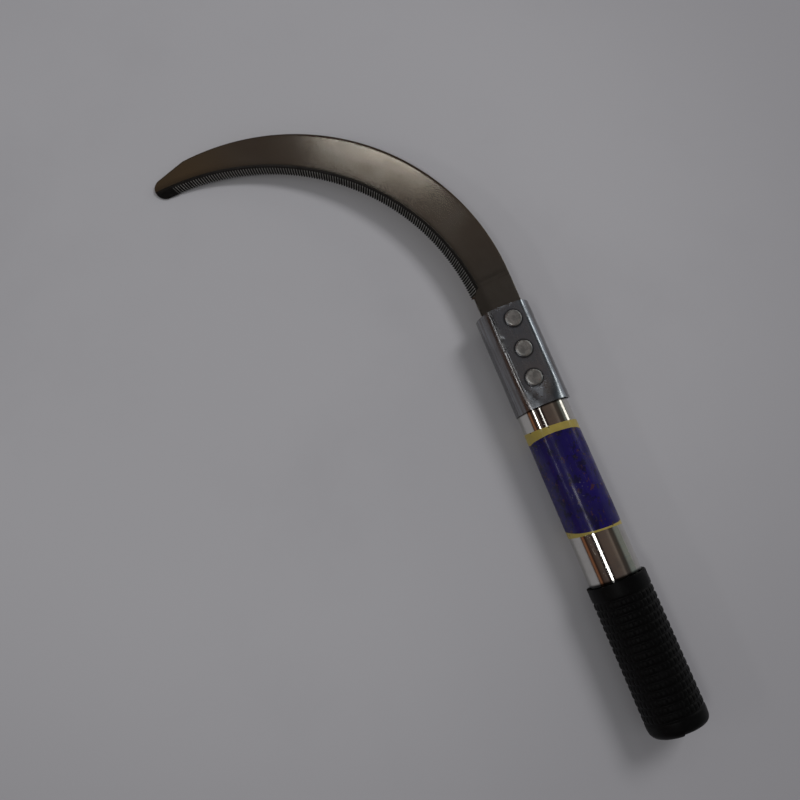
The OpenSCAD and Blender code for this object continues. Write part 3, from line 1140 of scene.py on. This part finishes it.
# The bands run along the handle: their colours go by degrees from straight up
# towards the hook, then are tinted by how far a direction leans along the handle
direction = place(tree, "TexCoord").outputs["Generated"]
parts = place(tree, "SeparateXYZ", {0: direction}).outputs
swing = reckon(tree, "ARCTAN2", parts[1], parts[2])
share = place(tree, "MapRange", {0: swing, 1: -math.pi / 2, 2: math.pi / 2})
wall_colours = (
    (-90, (0.20, 0.208, 0.188)),
    (-62, (0.165, 0.176, 0.156)),
    (-52, (0.045, 0.040, 0.034)),
    (-34, (0.055, 0.043, 0.036)),
    (-26, (0.150, 0.120, 0.100)),
    (-14, (0.096, 0.072, 0.060)),
    (12, (0.080, 0.058, 0.048)),
    (17, (0.022, 0.015, 0.012)),
    (42, (0.018, 0.011, 0.009)),
    (48, (0.090, 0.066, 0.055)),
    (66, (0.055, 0.036, 0.028)),
    (72, (0.020, 0.011, 0.008)),
    (80, (0.210, 0.090, 0.045)),
    (89, (0.060, 0.036, 0.026)),
)
walls = ramp([(degrees / 180.0 + 0.5, colour) for degrees, colour in wall_colours], share)
sideways = place(tree, "Math", {0: parts[0]}, operation="ABSOLUTE")
end_tints = (
    (0.00, (1.00, 1.00, 1.00)),
    (0.11, (1.00, 1.00, 1.00)),
    (0.17, (0.55, 0.76, 1.00)),
    (0.25, (0.55, 0.74, 0.96)),
    (0.33, (0.76, 0.75, 0.73)),
)
ends = ramp(end_tints, sideways)
tinted = place(tree, "VectorMath", {0: walls, 1: ends}, operation="MULTIPLY")
mirrored = place(tree, "Background", {"Color": tinted})
soft_light = place(tree, "Background", {"Color": (0.96, 0.97, 1.0, 1.0), "Strength": 0.185})
glossy = place(tree, "LightPath").outputs["Is Glossy Ray"]
choose = place(tree, "MixShader", {0: glossy, 1: soft_light, 2: mirrored})
place(tree, "OutputWorld", {"Surface": choose})


def lamp(name, where, target, width, height, power, colour):
    """Rectangular light that faces its target."""
    data = bpy.data.lights.new(name, "AREA")
    data.shape = "RECTANGLE"
    data.size, data.size_y = width, height
    data.energy = power
    data.color = colour
    made = bpy.data.objects.new(name, data)
    made.location = where
    aim = Vector(target) - Vector(where)
    made.rotation_euler = aim.to_track_quat("-Z", "Y").to_euler()
    made.visible_camera = False
    scene.collection.objects.link(made)
    return made


def above_handle(x, degrees, distance):
    """Point round the handle, from straight up towards the hook side."""
    a = math.radians(degrees)
    return Vector((x, distance * math.sin(a), distance * math.cos(a)))


window_at = above_handle(0.70, -74.0, 1.3)
lamp("Window", window_at, (0.20, 0.0, 0.0), 1.1, 0.30, 1.7, (1.0, 0.98, 0.93))
box_at = (0.92, -1.16, 1.70)
softbox = lamp("Softbox", box_at, (0.20, 0.03, 0.0), 0.70, 0.70, 11.7, (0.98, 0.98, 1.0))
softbox.visible_glossy = False
for name, x, degrees, width, length, power in (
    ("Lamp over the butt", 0.0, 29.0, 0.13, 0.26, 0.69),
    ("Lamp over the ferrule", 0.27, 58.0, 0.055, 0.30, 0.36),
    ("Ceiling panel", 0.27, 27.0, 0.06, 0.22, 0.09),
):
    lamp_at = above_handle(x, degrees, 1.0)
    lamp(name, lamp_at, (x, 0.0, 0.0), length, width, power, (1.0, 1.0, 0.98))
shine_spot = Vector((0.3082, 0.0208, -0.0014))
shine_way = Vector((0.4485, -0.0655, 0.8915)).normalized()
lamp_at = shine_spot + shine_way * 1.1
sheen = lamp("Sheen on the blade", lamp_at, shine_spot, 0.23, 0.018, 0.115, (0.93, 0.97, 1.0))
tangent = Vector((0.70, 0.71, 0.0))
tangent = (tangent - shine_way * tangent.dot(shine_way)).normalized()
turned = Matrix((tangent, shine_way.cross(tangent), shine_way)).transposed()
sheen.rotation_euler = turned.to_euler()

camera_data = bpy.data.cameras.new("Camera")
camera_data.lens = 36.0
camera_data.sensor_width = 36.0
camera = bpy.data.objects.new("Camera", camera_data)
camera.location = (0.11753, 0.12320, 0.36141)
camera.rotation_euler = [math.radians(d) for d in (12.760, -5.335, -111.644)]
scene.collection.objects.link(camera)
scene.camera = camera

bpy.context.view_layer.update()
